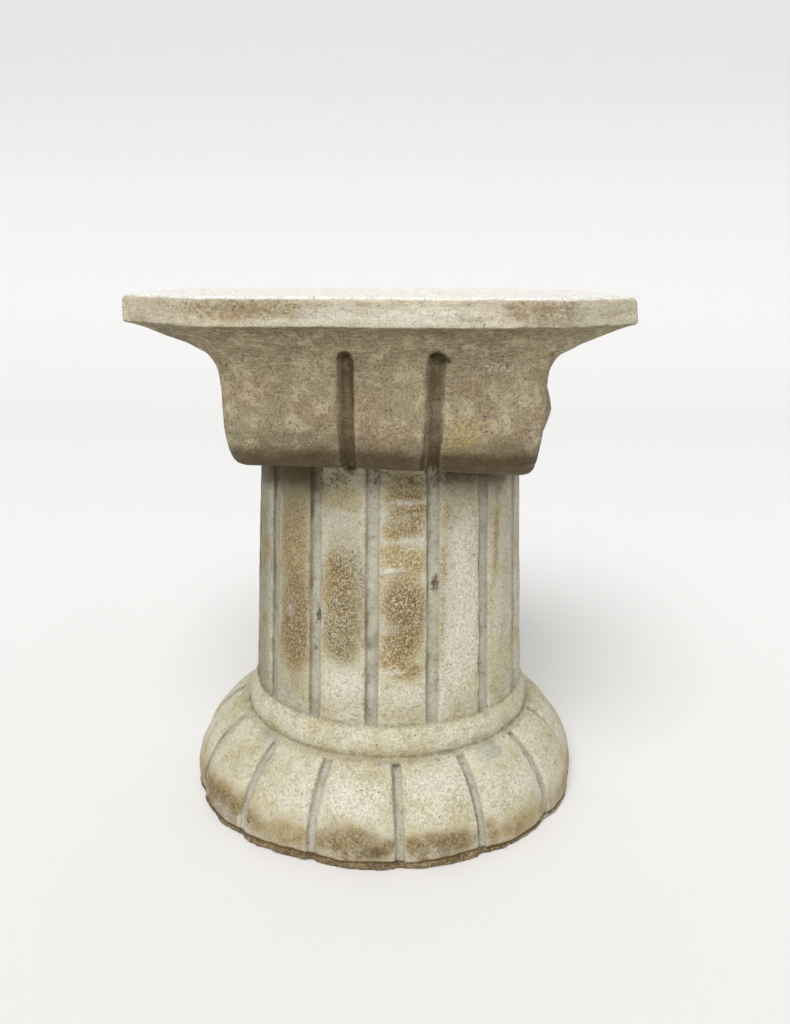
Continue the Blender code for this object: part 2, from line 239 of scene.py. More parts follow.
def above_ovolo(radius, z):
    """Distance outside the curve of the base, and how far that curve faces outward and upward."""
    out = np.maximum(radius - RING_FOOT_RADIUS, 1e-4) / (BASE_RADIUS - RING_FOOT_RADIUS)
    rise = np.maximum(z - BULGE_Z, 1e-5) / (RING_FOOT_Z - BULGE_Z)
    level = out ** OVOLO_FULLNESS + rise ** OVOLO_FULLNESS - 1.0
    slope_out = OVOLO_FULLNESS * out ** (OVOLO_FULLNESS - 1.0) / (BASE_RADIUS - RING_FOOT_RADIUS)
    slope_up = OVOLO_FULLNESS * rise ** (OVOLO_FULLNESS - 1.0) / (RING_FOOT_Z - BULGE_Z)
    steep = np.hypot(slope_out, slope_up)
    return level / steep, slope_out / steep, slope_up / steep


def on_shaft(degrees, height):
    """A place on the shaft's face, from an angle and a height in millimetres."""
    z = height * MM
    turn = math.radians(degrees)
    radius = shaft_radius(z)
    return (SHAFT_X + radius * math.sin(turn), -radius * math.cos(turn), z)


def on_base(degrees, height):
    """A place on the lobed base, from an angle and a height in millimetres."""
    z = height * MM
    turn = math.radians(degrees)
    rise = max(0.0, (z - BULGE_Z) / (RING_FOOT_Z - BULGE_Z))
    out = max(0.0, 1.0 - rise ** OVOLO_FULLNESS) ** (1.0 / OVOLO_FULLNESS)
    radius = RING_FOOT_RADIUS + (BASE_RADIUS - RING_FOOT_RADIUS) * out
    return (BASE_X + radius * math.sin(turn), -radius * math.cos(turn), z)


def on_front(across, height):
    """A place on the front of the slab, cove or bolster, in millimetres from the middle and floor."""
    x = across * MM
    z = height * MM
    if z > SLAB_UNDERSIDE_Z:
        return (x, CAD_BOX[0].y, z)
    return (x, BOLSTER_FRONT_Y, z)


def near(points, place, reach, power=1.0):
    """How near the points are to a place: one there, fading to zero past the reach in millimetres."""
    gap = (points - np.array(place)) / (np.array(reach) * MM)
    return np.exp(-np.sum(gap * gap, axis=1) ** power)


def off_straps(points):
    """How far each point is from the middle of its nearest strap, as a share of the strap's half width."""
    share = np.full(len(points), 9.0)
    for top_x, lean, half_width in STRAPS:
        down = (STRAP_TOP_Z - points[:, 2]) / (STRAP_TOP_Z - NECK_Z)
        across = (points[:, 0] - top_x - lean * down) / half_width
        share = np.where(np.abs(across) < np.abs(share), across, share)
    past = np.maximum(0.0, points[:, 2] - STRAP_TOP_Z + 4 * MM) / (5 * MM)
    return np.hypot(share, past)


def in_straps(points):
    """One on the floor of a strap and zero beside it."""
    front = np.abs(points[:, 1]) > 105 * MM
    high = points[:, 2] > NECK_Z - 2 * MM
    return front * high * (1.0 - ramp(off_straps(points), 0.72, 1.08))


def wobble(points, amount):
    """Moves the points a little along the surface, so that cut edges waver as hand work does."""
    moved = points.copy()
    for axis in range(3):
        moved[:, axis] += amount * lattice_noise(points, 34 * MM, 40 + axis)
        moved[:, axis] += 0.4 * amount * lattice_noise(points, 11 * MM, 50 + axis)
    return moved


def cast_undulation(points):
    """The slow unevenness of a hand finished casting."""
    depth = 0.55 * lattice_noise(points, 62 * MM, 1)
    depth += 0.32 * lattice_noise(points, 24 * MM, 2)
    depth += 0.16 * lattice_noise(points, 9 * MM, 3)
    depth += 0.08 * lattice_noise(points, 4 * MM, 4)
    return depth * MM


def flat_floors(points):
    """Squares up the flutes and the grooves between the lobes, which have flat floors and steep sides."""
    points = points.copy()
    turn, radius = round_axis(points, SHAFT_X)
    arc = np.abs(np.radians(off_nearest(turn, FLUTES, FLUTE_FIRST_DEG))) * radius
    face = shaft_radius(points[:, 2])
    share = 1.0 - ramp(arc, FLUTE_HALF_WIDTH - 1.0 * MM, FLUTE_HALF_WIDTH)
    floor = face - FLUTE_FLOOR_DEPTH * share
    inside = (arc < FLUTE_HALF_WIDTH) & (radius > face - 9 * MM) & (radius < face + 1 * MM)
    inside &= (points[:, 2] > RING_TOP_Z + 4 * MM) & (points[:, 2] < NECK_Z + 4 * MM)
    grow = np.where(inside, floor / radius, 1.0)
    points[:, 0] = SHAFT_X + (points[:, 0] - SHAFT_X) * grow
    points[:, 1] *= grow

    turn, radius = round_axis(points, BASE_X)
    arc = np.abs(np.radians(off_nearest(turn, LOBES, LOBE_FIRST_DEG, LOBE_STRAY_DEG))) * radius
    height, out, up = above_ovolo(radius, points[:, 2])
    share = 1.0 - ramp(arc, GROOVE_HALF_WIDTH - 0.9 * MM, GROOVE_HALF_WIDTH)
    fade = np.clip((RING_FOOT_Z - points[:, 2]) / BULGE_Z, 0.0, 1.0)
    floor = -LOBE_FALL * fade - GROOVE_FLOOR_DEPTH * share
    inside = (arc < GROOVE_HALF_WIDTH) & (radius > GROOVE_TOP_RADIUS) & (points[:, 2] < RING_FOOT_Z)
    inside &= (points[:, 2] > 0.5 * MM) & (height > -12 * MM)
    lift = np.where(inside, floor - height, 0.0)
    grow = 1.0 + lift * out / radius
    points[:, 0] = BASE_X + (points[:, 0] - BASE_X) * grow
    points[:, 1] *= grow
    points[:, 2] += lift * up * (points[:, 2] > 3 * MM)
    return points


def worn_edges(points, crest):
    """How far the sharp edges are chipped and rubbed back. crest is over zero on outward edges."""
    chips = ramp(layered_noise(points, 16 * MM, 7), 0.35, 1.0)
    rubbed = 0.25 + 0.3 * lattice_noise(points, 22 * MM, 8)
    return -np.clip(crest / (1.2 * MM), 0.0, 1.0) * (1.5 * chips + rubbed) * MM


def blown_pits(points, count, seed):
    """Small round pits left by air bubbles at the mould's face."""
    chooser = np.random.default_rng(seed)
    tree = KDTree(len(points))
    for index, point in enumerate(points):
        tree.insert(point, index)
    tree.balance()
    depth = np.zeros(len(points))
    for index in chooser.integers(0, len(points), count):
        radius = chooser.uniform(1.6, 3.2) * MM
        for _, at, distance in tree.find_range(points[index], radius):
            depth[at] = min(depth[at], -0.35 * radius * (1.0 - (distance / radius) ** 2))
    return depth


# Knocks and slips that the photograph shows: place, reach and depth in millimetres
KNOCKS = (
    (on_front(-28, 461), 5, 2.6),
    (on_front(45, 461), 5, 3.0),
    (on_front(50, 460), 5, 2.4),
    (on_front(56, 457), 3.5, 1.4),
    ((138 * MM, -160 * MM, 463 * MM), 4, 2.2),
    ((110 * MM, CAD_BOX[0].y, SLAB_UNDERSIDE_Z + 1 * MM), 4, 1.5),
    ((126 * MM, CAD_BOX[0].y, SLAB_UNDERSIDE_Z + 1 * MM), 4, 1.5),
    ((-208 * MM, -140 * MM, TOP_Z), 9, 1.8),
    ((-190 * MM, -160 * MM, SLAB_UNDERSIDE_Z + 4 * MM), 6, 1.2),
    ((214 * MM, -141 * MM, TOP_Z), 12, 2.4),
    (on_shaft(13, 343), 4, 1.4),
    (on_base(10, 11), 4, 1.6),
    (on_base(-10, 12), 3.5, 1.4),
    (on_base(4, 6), 5, 2.2),
    (on_base(-19, 8), 5, 2.0),
    (on_base(38.5, 57), 4, 0.7),
)


def knocks(points):
    """Depth of the knocks at each point."""
    depth = np.zeros(len(points))
    for place, reach, deep in KNOCKS:
        depth -= deep * MM * near(points, place, (reach, reach, reach))
    return depth


# Ripples in the shaft: angle, height, height of the ripple and reach to each side, in millimetres
RIPPLES = (
    (6, 327, 0.9, 18),
    (5, 291, 0.8, 18),
    (1, 264, 1.1, 11),
    (5, 166, 0.7, 16),
    (11, 341, 1.0, 10),
    (-19, 316, 0.5, 16),
    (29, 318, 0.5, 16),
)


def slapped_ripples(points):
    """Soft ripples across the middle band of the shaft and over its right half."""
    depth = np.zeros(len(points))
    for degrees, height, rise, wide in RIPPLES:
        crest = on_shaft(degrees, height)
        trough = (crest[0], crest[1], crest[2] - 6 * MM)
        depth += rise * MM * near(points, crest, (wide, 14, 3))
        depth -= 0.8 * rise * MM * near(points, trough, (wide, 14, 4))
    return depth


def strap_floors(points, normals):
    """Widens and leans the straps as the photograph has them, down to a nearly flat floor."""
    outward = np.clip(np.abs(normals[:, 1]) * 1.5, 0.0, 1.0)
    share = off_straps(points)
    wall = (1.0 - ramp(share, 0.8, 1.05)) * ramp(share, 0.45, 0.85)
    front = (np.abs(points[:, 1]) > 120 * MM) & (points[:, 2] > NECK_Z - 2 * MM)
    return -STRAP_WIDENING * wall * front * outward


def raw_lip(points):
    """The ragged foot of the base, where the paint ends and the bare casting stands out under it."""
    edge = raw_edge(points)
    notch = np.exp(-((points[:, 2] - edge) / (1.2 * MM)) ** 2)
    under = 1.0 - ramp(points[:, 2], edge - 2.0 * MM, edge)
    rough = layered_noise(points, 9 * MM, 14)
    return (-1.5 * notch + under * (0.9 + 0.9 * rough)) * MM


def raw_edge(points):
    """Height of the ragged line where the paint ends."""
    turn, _ = round_axis(points, BASE_X)
    front = np.exp(-((turn + 12.0) / 55.0) ** 2)
    return (3.0 + 5.0 * front + 2.6 * layered_noise(points * (1.0, 1.0, 0.2), 30 * MM, 12)) * MM


def keep_in_box(points):
    """The finer casting never leaves the solid's own box, and its foot and top stay flat."""
    low = np.array(CAD_BOX[0])
    high = np.array(CAD_BOX[1])
    return np.clip(points, low, high)


def plugged_solid():
    """A copy of the solid, with a core that fills the strap cuts where they run on into the shaft."""
    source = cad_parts[NODE]
    shape = bmesh.new()
    shape.from_mesh(source.data)
    shape.transform(source.matrix_world)
    core_radius = shaft_radius(NECK_Z) - 5 * MM
    core = bmesh.ops.create_cone(
        shape, segments=96, cap_ends=True, depth=70 * MM, radius1=core_radius, radius2=core_radius,
    )
    bmesh.ops.translate(shape, verts=core["verts"], vec=(SHAFT_X, 0.0, NECK_Z + 20 * MM))
    mesh = bpy.data.meshes.new("plaster_casting")
    shape.to_mesh(mesh)
    shape.free()
    piece = bpy.data.objects.new("plaster_casting", mesh)
    bpy.context.scene.collection.objects.link(piece)
    return piece


def without_facets(points, edges):
    """Rounds the solid's facets away and leaves its real edges, which smoothing would move farther."""
    calm = smoothed(points, edges, 26)
    gap = np.linalg.norm(calm - points, axis=1)
    return points + (calm - points) * (1.0 - ramp(gap, 0.3 * MM, 0.7 * MM))[:, None]


def casting_relief(points, normals, edges):
    """How far each point stands out from the plain form."""
    z = points[:, 2]
    crest = np.sum((points - smoothed(points, edges, 10)) * normals, axis=1)
    depth = cast_undulation(points) - 0.3 * MM
    depth += worn_edges(points, crest)
    depth += knocks(points) + slapped_ripples(points)
    depth += FOOT_SWELL * near(points, on_base(-44, 8), (55, 55, 18))
    depth += np.where(z < 30 * MM, raw_lip(points), 0.0)
    depth += blown_pits(points, PIT_COUNT, PIT_SEED)
    depth *= ramp(z, 0.0, 1.5 * MM)
    return depth * np.where(z > TOP_Z - 0.6 * MM, 0.35, 1.0)


def fine_casting(voxel, triangles):
    """The solid's own form with the relief of a real casting on it."""
    piece = plugged_solid()
    mesh = applied(piece, "REMESH", {"mode": "VOXEL", "voxel_size": voxel, "adaptivity": 0.0})
    edges = mesh_edges(mesh)
    points = smoothed(mesh_points(mesh), edges, 2)
    points = flat_floors(without_facets(points, edges))
    points = smoothed(points, edges, 1)
    place_points(mesh, points)

    normals = mesh_normals(mesh)
    points = points + normals * strap_floors(points, normals)[:, None]
    points = wobble(points, EDGE_WAVER)
    place_points(mesh, points)

    normals = mesh_normals(mesh)
    points = points + normals * casting_relief(points, normals, edges)[:, None]
    place_points(mesh, keep_in_box(points))
    ratio = triangles / (2.0 * len(mesh.polygons))
    mesh = applied(piece, "DECIMATE", {"ratio": min(1.0, ratio)})
    place_points(mesh, keep_in_box(mesh_points(mesh)))
    mesh.shade_smooth()
    mesh.name = "plaster_casting"
    return piece


def hollows(mesh):
    """Over zero in cuts and creases, under zero on edges, at a fine and a broad reach, in millimetres."""
    points = mesh_points(mesh)
    normals = mesh_normals(mesh)
    edges = mesh_edges(mesh)
    fine = smoothed(points, edges, 3)
    broad = smoothed(fine, edges, 14)
    depth = np.stack([np.sum((calm - points) * normals, axis=1) / MM for calm in (fine, broad)], axis=1)
    return smoothed(depth, edges, 2).T


# Stains and bare places that the photograph shows, by kind: place, reach along X, Y and Z in
# millimetres, and strength. THROUGH reaches back through the curve of one face of the shaft.
THROUGH = 26
STAINS = {
    "ochre": (
        (on_shaft(-41.5, 255), (24, THROUGH, 55), 0.62),
        (on_shaft(-41, 190), (24, THROUGH, 40), 0.80),
        (on_shaft(-19, 328), (22, THROUGH, 18), 0.40),
        (on_shaft(-22, 250), (15, THROUGH, 42), 0.62),
        (on_shaft(6, 330), (22, THROUGH, 16), 0.50),
        (on_shaft(11, 312), (12, THROUGH, 16), 0.80),
        (on_shaft(1, 302), (12, THROUGH, 9), 0.85),
        (on_shaft(5.8, 275), (22, THROUGH, 14), 0.90),
        (on_shaft(5, 236), (21, THROUGH, 24), 0.90),
        (on_shaft(6, 205), (21, THROUGH, 20), 0.55),
        (on_shaft(1.5, 182), (13, THROUGH, 22), 0.95),
        (on_shaft(22, 318), (7, THROUGH, 20), 0.32),
        (on_shaft(-41, 300), (24, THROUGH, 40), 0.52),
        (on_shaft(-16, 225), (20, THROUGH, 60), 0.20),
        (on_shaft(6, 255), (24, THROUGH, 90), 0.28),
        (on_shaft(33.6, 272), (5, THROUGH, 5), 0.70),
        (on_shaft(20.8, 240), (3.5, 14, 60), 0.90),
        (on_shaft(49, 290), (3, 12, 48), 0.80),
        (on_shaft(-3.4, 225), (3, 14, 60), 0.85),
        (on_base(-54, 20), (50, 50, 22), 0.62),
        (on_base(-26, 18), (26, 26, 14), 0.72),
        (on_base(-8.5, 25), (30, 26, 12), 0.62),
        (on_base(12, 24), (34, 26, 11), 0.66),
        (on_base(28.5, 26), (7, 14, 9), 1.00),
        (on_base(34, 14), (28, 20, 9), 0.60),
        (on_front(-130, 497), (56, 12, 14), 0.32),
        (on_front(-60, 500), (44, 12, 9), 0.35),
        (on_front(74, 400), (20, 22, 16), 0.42),
        (on_front(62, 385), (16, 22, 13), 0.38),
        (on_front(10, 395), (22, 22, 14), 0.30),
        (on_shaft(8, 166), (14, 16, 9), 0.95),
    ),
    "specks": (
        (on_shaft(-18, 255), (24, THROUGH, 90), 0.14),
        (on_shaft(6, 260), (24, THROUGH, 90), 0.10),
        (on_shaft(-41.5, 205), (24, THROUGH, 62), 0.42),
        (on_shaft(-19, 300), (24, THROUGH, 34), 0.22),
        (on_shaft(-16, 250), (24, THROUGH, 32), 0.50),
        (on_shaft(-19, 200), (24, THROUGH, 34), 0.55),
        (on_shaft(6, 320), (24, THROUGH, 34), 0.34),
        (on_shaft(6, 215), (24, THROUGH, 44), 0.46),
        (on_shaft(25, 318), (18, THROUGH, 24), 0.30),
        (on_shaft(23, 240), (10, THROUGH, 60), 0.25),
        (on_shaft(-30.4, 245), (7, 14, 44), 0.70),
        (on_front(140, 497), (60, 20, 12), 0.30),
        (on_front(-110, 500), (90, 20, 9), 0.32),
        (on_front(-28, 415), (10, 22, 45), 0.50),
        (on_base(-8, 25), (40, 30, 16), 0.42),
        (on_base(14, 22), (40, 30, 12), 0.42),
        (on_base(-50, 20), (50, 50, 18), 0.42),
    ),
    "pink": (
        ((-185 * MM, -180 * MM, 497 * MM), (36, 40, 14), 0.50),
        (on_front(-109, 496), (20, 12, 9), 0.70),
        (on_front(-180, 500), (24, 20, 8), 0.45),
        (on_front(95, 500), (30, 12, 8), 0.50),
        (on_front(135, 498), (52, 12, 12), 0.56),
        (on_front(186, 498), (20, 26, 10), 0.70),
        (on_front(-104, 438), (18, 22, 12), 0.45),
        (on_front(-10, 398), (20, 22, 16), 0.40),
    ),
    "soot_and_shade": (
        (on_shaft(8, 167), (10, 16, 8), 0.42),
        (on_shaft(-28.8, 214), (3.5, 10, 12), 0.85),
        (on_shaft(-30.5, 180), (3.5, 10, 4), 0.75),
        (on_shaft(17.8, 248), (4, 12, 13), 0.75),
        (on_front(-28, 462), (6, 14, 4), 0.95),
        (on_front(46, 462), (7, 14, 4), 0.95),
        (on_front(55, 458), (4, 10, 2.5), 0.70),
        ((138 * MM, -160 * MM, 463 * MM), (5, 30, 4), 0.80),
        (on_base(-3, 18), (12, 14, 9), 0.60),
        (on_base(16, 15), (10, 12, 7), 0.45),
        (on_base(28.5, 29), (3, 8, 4), 0.70),
    ),
    "cool": (
        (on_shaft(56, 240), (14, THROUGH, 90), 0.40),
        (on_base(-47, 82), (16, 16, 7), 0.70),
        (on_base(38.7, 79), (16, 16, 7), 0.70),
        (on_base(2, 81), (14, 12, 6), 0.55),
        (on_front(63, 492), (4.5, 12, 2.2), 1.00),
        (on_front(176, 493), (6, 20, 2.4), 0.90),
        (on_front(172, 503), (10, 20, 4), 0.50),
    ),
    "pale": (
        (on_shaft(-19, 312), (16, THROUGH, 9), 0.75),
        (on_shaft(-17, 278), (12, THROUGH, 16), 0.45),
        (on_shaft(-18.5, 150), (24, THROUGH, 22), 0.60),
        (on_shaft(5.5, 327), (17, THROUGH, 4), 0.80),
        (on_shaft(11.5, 339), (7, THROUGH, 5), 0.90),
        (on_shaft(8, 290), (16, THROUGH, 8), 0.85),
        (on_shaft(0.5, 264), (10, THROUGH, 3), 0.95),
        (on_shaft(1.5, 166), (9, THROUGH, 4), 0.80),
        (on_shaft(6, 140), (22, THROUGH, 16), 0.70),
        (on_shaft(30, 220), (22, THROUGH, 85), 0.95),
        (on_shaft(29, 300), (16, THROUGH, 26), 0.55),
        (on_shaft(-19, 296), (20, THROUGH, 18), 0.35),
        (on_base(-31, 50), (34, 34, 18), 0.35),
        (on_base(-8, 60), (32, 30, 18), 0.70),
        (on_base(15, 66), (32, 30, 16), 0.65),
        (on_base(12, 46), (30, 26, 9), 0.50),
        (on_base(38, 50), (26, 26, 18), 0.50),
        (on_base(-10, 14), (7, 8, 2.5), 0.90),
        (on_base(10, 13), (7, 8, 2.5), 0.90),
        (on_front(-38, 496), (24, 12, 9), 0.80),
        (on_front(30, 494), (44, 12, 8), 0.85),
        (on_front(-111, 458), (14, 30, 1.6), 0.55),
        (on_front(100, 453), (26, 22, 5), 0.30),
    ),
}


def stains(points, kind):
    """How much of one kind of stain lies at each point, from 0 to 1."""
    bare = np.ones(len(points))
    for place, reach, strength in STAINS[kind]:
        bare *= 1.0 - strength * near(points, place, reach, FLAT_TOPPED)
    return 1.0 - bare


def store(mesh, name, values):
    """Writes one share for each point, for the paint to read."""
    layer = mesh.attributes.new(name, "FLOAT", "POINT")
    layer.data.foreach_set("value", np.clip(values, 0.0, 1.0).astype(np.float32))


def members(points, normals, loose):
    """How much each point belongs to each member of the casting, from 0 to 1."""
    z = points[:, 2]
    _, radius = round_axis(points, SHAFT_X)
    up = normals[:, 2]
    above_ring = ramp(z, RING_TOP_Z, RING_TOP_Z + 2 * MM)
    outside_shaft = ramp(radius, SHAFT_HEAD_RADIUS, SHAFT_HEAD_RADIUS + 3 * MM)
    part = SimpleNamespace()
    part.capital = ramp(z, NECK_Z - 1 * MM, NECK_Z + 4 * MM)
    part.capital *= np.where(z < SHAFT_HEAD_Z, outside_shaft, 1.0)
    part.slab = ramp(z, SLAB_UNDERSIDE_Z - 0.5 * MM, SLAB_UNDERSIDE_Z + 1.0 * MM) * ramp(up, -0.75, -0.35)
    part.top = ramp(z, TOP_Z - 3 * MM, TOP_Z - 1 * MM) * ramp(up, 0.2, 0.7)
    part.base = 1.0 - ramp(z, RING_FOOT_Z - 4 * MM, RING_FOOT_Z)
    part.ring = (1.0 - part.base) * (1.0 - above_ring)
    part.shaft = above_ring * (1.0 - part.capital)
    part.low_base = part.base * (1.0 - ramp(z + 6 * MM * loose, 12 * MM, 52 * MM))
    part.foot = part.shaft * (1.0 - ramp(z, 130 * MM, 150 * MM))
    part.neck = part.shaft * ramp(z + 5 * MM * loose, NECK_Z - 34 * MM, NECK_Z - 6 * MM)
    return part


def edge_lines(arc, half_width, share):
    """Thin lines along a channel: a dark line of dirt and painted shadow, most on the left, and a painted
    highlight along the rubbed arris on the right.
    """
    seam_dirt_and_shade = np.exp(-((arc + half_width - 0.9 * MM) / (1.4 * MM)) ** 2)
    seam_dirt_and_shade += 0.35 * np.exp(-((arc - half_width + 0.9 * MM) / (1.1 * MM)) ** 2)
    ridge_highlight = np.exp(-((arc - half_width - 0.6 * MM) / (0.9 * MM)) ** 2)
    return share * seam_dirt_and_shade, share * ridge_highlight


def flute_marks(points, shaft):
    """The floors of the flutes, and the lines along their edges."""
    turn, radius = round_axis(points, SHAFT_X)
    arc = np.radians(off_nearest(turn, FLUTES, FLUTE_FIRST_DEG)) * radius
    floor = shaft * (1.0 - ramp(np.abs(arc), FLUTE_HALF_WIDTH - 1.0 * MM, FLUTE_HALF_WIDTH + 0.5 * MM))
    floor *= ramp(shaft_radius(points[:, 2]) - radius, 0.8 * MM, 1.8 * MM)
    return floor, *edge_lines(arc, FLUTE_HALF_WIDTH, shaft)


def groove_marks(points, base):
    """The floors of the grooves between the lobes, and the lines along their edges."""
    turn, radius = round_axis(points, BASE_X)
    arc = np.radians(off_nearest(turn, LOBES, LOBE_FIRST_DEG, LOBE_STRAY_DEG)) * radius
    floor = base * (1.0 - ramp(np.abs(arc), GROOVE_HALF_WIDTH - 0.8 * MM, GROOVE_HALF_WIDTH + 0.4 * MM))
    floor *= radius > GROOVE_TOP_RADIUS + 1 * MM
    return floor, *edge_lines(arc, GROOVE_HALF_WIDTH, base * (radius > GROOVE_TOP_RADIUS))


def rim_marks(points, base):
    """The bare lip at the foot, most of it at the front, and the dark line where the paint ends."""
    turn, _ = round_axis(points, BASE_X)
    over = points[:, 2] - raw_edge(points)
    rim = base * (1.0 - ramp(over, -0.8 * MM, 0.6 * MM))
    rim *= 0.42 + 0.32 * np.exp(-((turn + 20.0) / 60.0) ** 4)
    return rim, base * np.exp(-(over / (1.4 * MM)) ** 2)


def shade_and_grime_below(points, normals, loose):
    """Painted shade, with some grime, on faces of the capital that turn down and on the foot of its rolls,
    less in the cove.
    """
    z = points[:, 2]
    down = -normals[:, 2]
    rolls = 0.55 * ramp(down + 0.10 * loose, 0.10, 0.88)
    rolls += ramp(NECK_Z + 4 * MM * loose - z, -34 * MM, -6 * MM)
    cove = 0.42 * ramp(down + 0.06 * loose, 0.50, 0.98)
    return np.where(z > COVE_FOOT_Z - 10 * MM, cove, rolls)


def neck_shade(points, shaft, loose):
    """Painted shadow of the capital on the shaft's neck, with some dirt, deeper at both sides, and how far to
    a side each point is.
    """
    turn, _ = round_axis(points, SHAFT_X)
    start = NECK_Z - 33 * MM - 8 * MM * ramp(np.abs(turn - 5.0), 18.0, 34.0)
    shade = shaft * ramp(points[:, 2] + 4 * MM * loose, start, start + 27 * MM)
    return shade, np.maximum(ramp(turn, 15.0, 24.0), ramp(-turn, 24.0, 34.0))


def mark_surface(mesh):
    """Writes what the paint needs to know about each point of the casting."""
    points = mesh_points(mesh)
    normals = mesh_normals(mesh)
    z = points[:, 2]
    fine, broad = hollows(mesh)
    turn, _ = round_axis(points, SHAFT_X)
    _, base_radius = round_axis(points, BASE_X)
    loose = layered_noise(points, 30 * MM, 21)
    part = members(points, normals, loose)
    flute, flute_seam_dirt_and_shade, flute_ridge_highlight = flute_marks(points, part.shaft)
    groove, groove_seam_dirt_and_shade, groove_ridge_highlight = groove_marks(points, part.base)
    rim, line = rim_marks(points, part.base)
    channel = np.maximum(flute, groove)
    store(mesh, "capital", part.capital * (1.0 - part.slab))
    store(mesh, "slab", part.slab * (1.0 - part.top))
    store(mesh, "top", part.top)
    store(mesh, "rim", rim)
    store(mesh, "channel", channel * (1.0 - rim))
    store(mesh, "strap", in_straps(points) * ramp(part.capital, 0.3, 0.8))
    store(mesh, "foot", part.foot + 0.7 * part.ring)
    store(mesh, "brushed", ramp(z + 8 * MM * loose, 420 * MM, 462 * MM) + 0.8 * (part.foot + part.ring))

    # Painted shade with some grime: the capital's downward faces, and the shadow it casts on the shaft's
    # neck. The shaft is also darker towards its left side.
    shade, aside = neck_shade(points, part.shaft, loose)
    left = part.shaft * (0.24 * ramp(-turn, 28.0, 42.0) + 0.30 * ramp(-turn, 56.0, 66.0))
    capital_shade_and_grime = part.capital * shade_and_grime_below(points, normals, loose)
    store(mesh, "under", capital_shade_and_grime + left + (0.26 + 0.60 * aside) * shade)

    ochre_stains = stains(points, "ochre")
    ochre = ochre_stains + 0.66 * part.low_base + 0.15 * np.clip(loose, 0.0, 1.0)
    specks = stains(points, "specks") + 0.24 * part.neck + 0.35 * part.low_base
    specks += 0.14 * (part.base + part.foot) + 0.12 * part.shaft + 0.22 * part.capital
    specks += 0.10 * ochre_stains * (part.shaft + part.base)
    smoother = (1.0 - 0.7 * part.base) * (1.0 - 0.6 * np.maximum(part.slab, part.capital))
    store(mesh, "ochre", ochre)
    store(mesh, "specks", specks * (1.0 - 0.5 * flute))
    store(mesh, "dappled", np.maximum(ochre, specks) * smoother)
    # Soot stains, the painted shadow with some dirt on the shaft's neck under the capital, and the dark line
    # where the paint ends.
    store(mesh, "soot_and_shade", stains(points, "soot_and_shade") + (0.36 + 0.26 * aside) * part.neck + line)
    store(mesh, "pink", stains(points, "pink"))
    store(mesh, "pale", stains(points, "pale") * (1.0 - part.neck))
    store(mesh, "cool", stains(points, "cool"))

    # Darker in broad hollows, and a painted shadow under the ring.
    ring_shadow = np.exp(-((z - RING_FOOT_Z + 3 * MM) / (5 * MM)) ** 2)
    ring_shadow *= base_radius < RING_FOOT_RADIUS + 9 * MM
    over_ring = part.shaft * np.exp(-((z - RING_TOP_Z - 3 * MM) / (1.6 * MM)) ** 2)
    hollow = ramp(broad, 0.25, 1.5) * (1.0 - 0.5 * part.capital) * (1.0 - 0.85 * channel)
    # Dark lines of dirt and painted shadow along the channels and over the ring, and painted highlights on
    # the channels' right arrises.
    seam_dirt_and_shade = flute_seam_dirt_and_shade * (1.0 - part.capital) + 0.6 * over_ring + groove_seam_dirt_and_shade
    ridge_highlight = flute_ridge_highlight * (1.0 - shade) + groove_ridge_highlight
    store(mesh, "hollow", hollow + 0.7 * ring_shadow)
    store(mesh, "seam_dirt_and_shade", seam_dirt_and_shade * (0.65 + 0.35 * layered_noise(points, 22 * MM, 24)))
    store(mesh, "ridge_highlight", ridge_highlight * (0.60 + 0.40 * layered_noise(points, 26 * MM, 26)))
    # Darker in fine creases, and lighter on outward edges, worn and with a painted highlight.
    store(mesh, "crease", ramp(fine, 0.10, 0.45) * (1.0 - 0.72 * channel))
    store(mesh, "rubbed", ramp(-fine, 0.08, 0.35) * (1.0 - 0.85 * part.capital) * (1.0 - shade))


def linear(code):
    """An sRGB hex colour as the linear values that shaders take."""
    parts = [int(code[i:i + 2], 16) / 255.0 for i in (1, 3, 5)]
    turned = [p / 12.92 if p <= 0.04045 else ((p + 0.055) / 1.055) ** 2.4 for p in parts]
    return (*turned, 1.0)


def add_node(tree, kind, inputs=None, **settings):
    """Adds a node, sets its own settings and sets or links its inputs."""
    made = tree.nodes.new(kind)
    for name, value in settings.items():
        setattr(made, name, value)
    for name, value in (inputs or {}).items():
        if isinstance(value, bpy.types.NodeSocket):
            tree.links.new(value, made.inputs[name])
        else:
            made.inputs[name].default_value = value
    return made


def mixed(tree, share, below, above, blend="MIX"):
    """One colour laid over another by a share from 0 to 1."""
    made = add_node(
        tree, "ShaderNodeMix", {0: share, 6: below, 7: above}, data_type="RGBA", blend_type=blend
    )
    return made.outputs[2]


def sums(tree, operation, first, second=0.0, third=0.0):
    """Arithmetic on one value."""
    made = add_node(tree, "ShaderNodeMath", {0: first, 1: second, 2: third}, operation=operation)
    return made.outputs[0]


def spread(tree, value, low, high):
    """The same as ramp, as a node."""
    made = add_node(
        tree,
        "ShaderNodeMapRange",
        {"Value": value, "From Min": low, "From Max": high},
        interpolation_type="SMOOTHSTEP",
    )
    return made.outputs[0]


# Patterns in the paint: size in millimetres, layers, roughness, place in the noise and stretch.
# The grain of plaster and of a brush is finer than the picture can show, so both are drawn coarser.
EVEN = (1.0, 1.0, 1.0)
LEVEL = (0.16, 0.16, 1.0)
PATTERNS = {
    "clouds": (48.0, 4.0, 0.55, 0.0, EVEN),
    "mottle": (13.0, 5.0, 0.62, 3.0, EVEN),
    "spots": (2.8, 4.0, 0.68, 7.0, EVEN),
    "sand": (1.3, 2.0, 0.60, 9.0, EVEN),
    "grit": (3.6, 5.0, 0.70, 11.0, EVEN),
    "flecks": (1.9, 2.0, 0.60, 17.0, EVEN),
    "brush": (1.8, 4.0, 0.65, 5.0, LEVEL),
    "strokes": (7.0, 4.0, 0.60, 15.0, LEVEL),
}
AIR_HOLE_SPACING = 11.0


